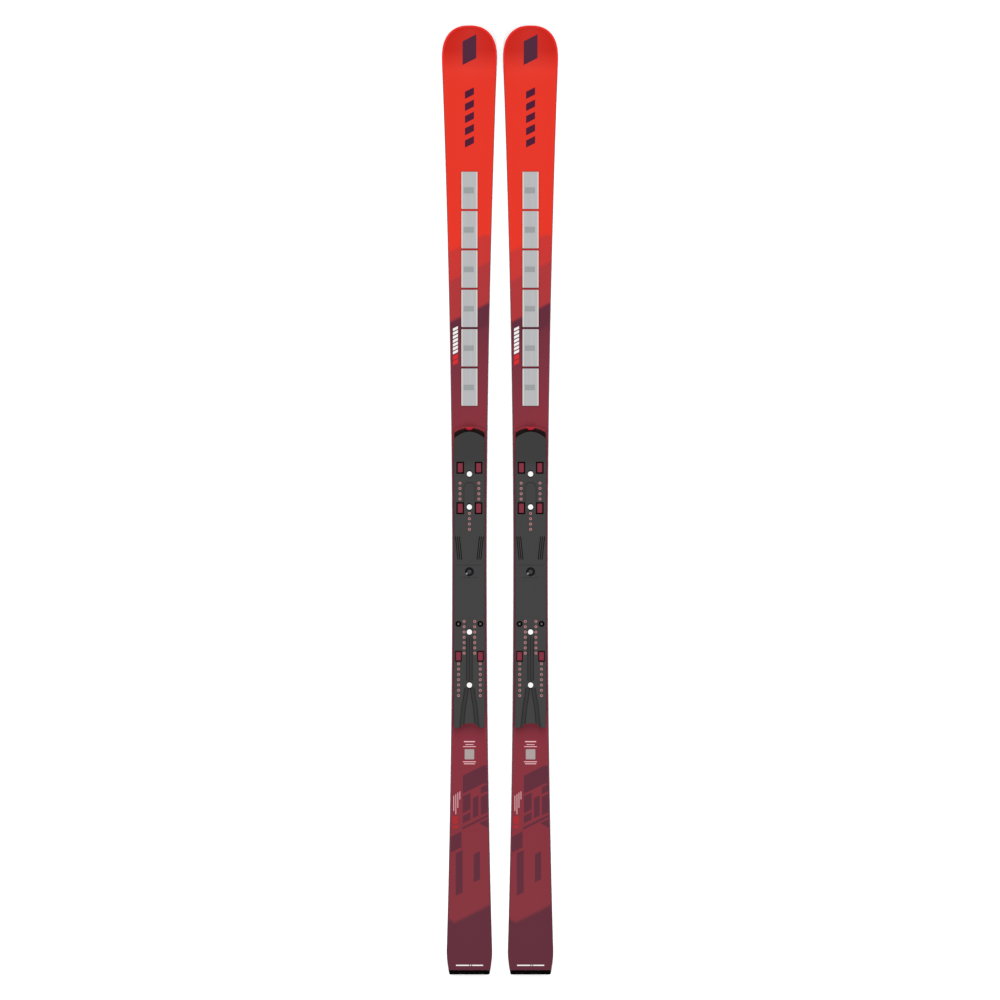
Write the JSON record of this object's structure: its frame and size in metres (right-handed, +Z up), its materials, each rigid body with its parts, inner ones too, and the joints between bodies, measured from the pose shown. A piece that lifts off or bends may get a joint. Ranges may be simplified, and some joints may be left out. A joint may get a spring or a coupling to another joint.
{
  "type": "alpine race skis with binding plates",
  "caption": "Side-cut alpine race skis lying side by side, with floating binding plates, sprung steel damper segments and flex dials.",
  "frame": {"origin": "on the ground, midway between the two skis and midway between tips and tails", "axes": "+Y runs along the skis towards the tips, +X to the right across the pair, +Z up"},
  "size_m": [0.2198, 1.792, 0.0505],
  "materials": {
    "base_sheet": "satin",
    "edge_steel": "ground",
    "laminate": "matt",
    "core_wood": "unfinished",
    "sidewall": "satin",
    "topsheet": "gloss",
    "black_plastic": "satin",
    "damper_rubber": "matt",
    "damper_steel": "brushed lengthwise",
    "carrier_red": "satin",
    "underlay_rubber": "matt",
    "deck_grey": "fine satin",
    "cap_white": "satin",
    "screw_steel": "satin"
  },
  "bodies": {
    "left_ski": {"left_running_base": "base_sheet", "left_edge_left": "edge_steel", "left_edge_right": "edge_steel", "left_lower_laminate": "laminate", "left_wood_core": "core_wood", "left_sidewall_left": "sidewall", "left_sidewall_right": "sidewall", "left_upper_laminate": "laminate", "left_topsheet": "topsheet", "left_tail_protector": "black_plastic", "left_damper_bed": "damper_rubber", "left_plate_carrier": "carrier_red", "left_plate_underlay": "underlay_rubber", "left_capped_screw_1": "cap_white", "left_capped_screw_2": "cap_white", "left_capped_screw_3": "cap_white", "left_capped_screw_4": "cap_white"},
    "left_deck": {"left_plate_deck": "deck_grey", "left_guide_screw_left": "screw_steel", "left_guide_screw_right": "screw_steel", "left_guide_bushing_left": "black_plastic", "left_guide_bushing_right": "black_plastic", "left_flex_screw": "screw_steel"},
    "left_dial": {"left_flex_dial": "black_plastic"},
    "left_damper_1": {"left_damper_segment_1": "damper_steel"},
    "left_damper_2": {"left_damper_segment_2": "damper_steel"},
    "left_damper_3": {"left_damper_segment_3": "damper_steel"},
    "left_damper_4": {"left_damper_segment_4": "damper_steel"},
    "left_damper_5": {"left_damper_segment_5": "damper_steel"},
    "left_damper_6": {"left_damper_segment_6": "damper_steel"},
    "right_ski": {"right_running_base": "base_sheet", "right_edge_left": "edge_steel", "right_edge_right": "edge_steel", "right_lower_laminate": "laminate", "right_wood_core": "core_wood", "right_sidewall_left": "sidewall", "right_sidewall_right": "sidewall", "right_upper_laminate": "laminate", "right_topsheet": "topsheet", "right_tail_protector": "black_plastic", "right_damper_bed": "damper_rubber", "right_plate_carrier": "carrier_red", "right_plate_underlay": "underlay_rubber", "right_capped_screw_1": "cap_white", "right_capped_screw_2": "cap_white", "right_capped_screw_3": "cap_white", "right_capped_screw_4": "cap_white"},
    "right_deck": {"right_plate_deck": "deck_grey", "right_guide_screw_left": "screw_steel", "right_guide_screw_right": "screw_steel", "right_guide_bushing_left": "black_plastic", "right_guide_bushing_right": "black_plastic", "right_flex_screw": "screw_steel"},
    "right_dial": {"right_flex_dial": "black_plastic"},
    "right_damper_1": {"right_damper_segment_1": "damper_steel"},
    "right_damper_2": {"right_damper_segment_2": "damper_steel"},
    "right_damper_3": {"right_damper_segment_3": "damper_steel"},
    "right_damper_4": {"right_damper_segment_4": "damper_steel"},
    "right_damper_5": {"right_damper_segment_5": "damper_steel"},
    "right_damper_6": {"right_damper_segment_6": "damper_steel"}
  },
  "joints": [
    {"name": "skis_apart", "type": "slide", "parent": "left_ski", "child": "right_ski", "axis": [1, 0, 0], "range_m": [0, 0.4]},
    {"name": "left_deck_float", "type": "slide", "parent": "left_ski", "child": "left_deck", "axis": [0, 1, 0], "range_m": [-0.0015, 0.0015], "stiffness_N_per_m": 20000},
    {"name": "left_dial_turn", "type": "hinge", "parent": "left_deck", "child": "left_dial", "pos_m": [-0.05775, -0.1347, 0.033], "axis": [0, 0, 1], "range_deg": [0, 86]},
    {"name": "left_damper_shear_1", "type": "slide", "parent": "left_ski", "child": "left_damper_1", "axis": [0, 1, 0], "range_m": [-0.0005, 0.0005], "stiffness_N_per_m": 2000},
    {"name": "left_damper_shear_2", "type": "slide", "parent": "left_ski", "child": "left_damper_2", "axis": [0, 1, 0], "range_m": [-0.0005, 0.0005], "stiffness_N_per_m": 2000},
    {"name": "left_damper_shear_3", "type": "slide", "parent": "left_ski", "child": "left_damper_3", "axis": [0, 1, 0], "range_m": [-0.0005, 0.0005], "stiffness_N_per_m": 2000},
    {"name": "left_damper_shear_4", "type": "slide", "parent": "left_ski", "child": "left_damper_4", "axis": [0, 1, 0], "range_m": [-0.0005, 0.0005], "stiffness_N_per_m": 2000},
    {"name": "left_damper_shear_5", "type": "slide", "parent": "left_ski", "child": "left_damper_5", "axis": [0, 1, 0], "range_m": [-0.0005, 0.0005], "stiffness_N_per_m": 2000},
    {"name": "left_damper_shear_6", "type": "slide", "parent": "left_ski", "child": "left_damper_6", "axis": [0, 1, 0], "range_m": [-0.0005, 0.0005], "stiffness_N_per_m": 2000},
    {"name": "right_deck_float", "type": "slide", "parent": "right_ski", "child": "right_deck", "axis": [0, 1, 0], "range_m": [-0.0015, 0.0015], "stiffness_N_per_m": 20000},
    {"name": "right_dial_turn", "type": "hinge", "parent": "right_deck", "child": "right_dial", "pos_m": [0.05775, -0.1347, 0.033], "axis": [0, 0, 1], "range_deg": [0, 86]},
    {"name": "right_damper_shear_1", "type": "slide", "parent": "right_ski", "child": "right_damper_1", "axis": [0, 1, 0], "range_m": [-0.0005, 0.0005], "stiffness_N_per_m": 2000},
    {"name": "right_damper_shear_2", "type": "slide", "parent": "right_ski", "child": "right_damper_2", "axis": [0, 1, 0], "range_m": [-0.0005, 0.0005], "stiffness_N_per_m": 2000},
    {"name": "right_damper_shear_3", "type": "slide", "parent": "right_ski", "child": "right_damper_3", "axis": [0, 1, 0], "range_m": [-0.0005, 0.0005], "stiffness_N_per_m": 2000},
    {"name": "right_damper_shear_4", "type": "slide", "parent": "right_ski", "child": "right_damper_4", "axis": [0, 1, 0], "range_m": [-0.0005, 0.0005], "stiffness_N_per_m": 2000},
    {"name": "right_damper_shear_5", "type": "slide", "parent": "right_ski", "child": "right_damper_5", "axis": [0, 1, 0], "range_m": [-0.0005, 0.0005], "stiffness_N_per_m": 2000},
    {"name": "right_damper_shear_6", "type": "slide", "parent": "right_ski", "child": "right_damper_6", "axis": [0, 1, 0], "range_m": [-0.0005, 0.0005], "stiffness_N_per_m": 2000}
  ]
}
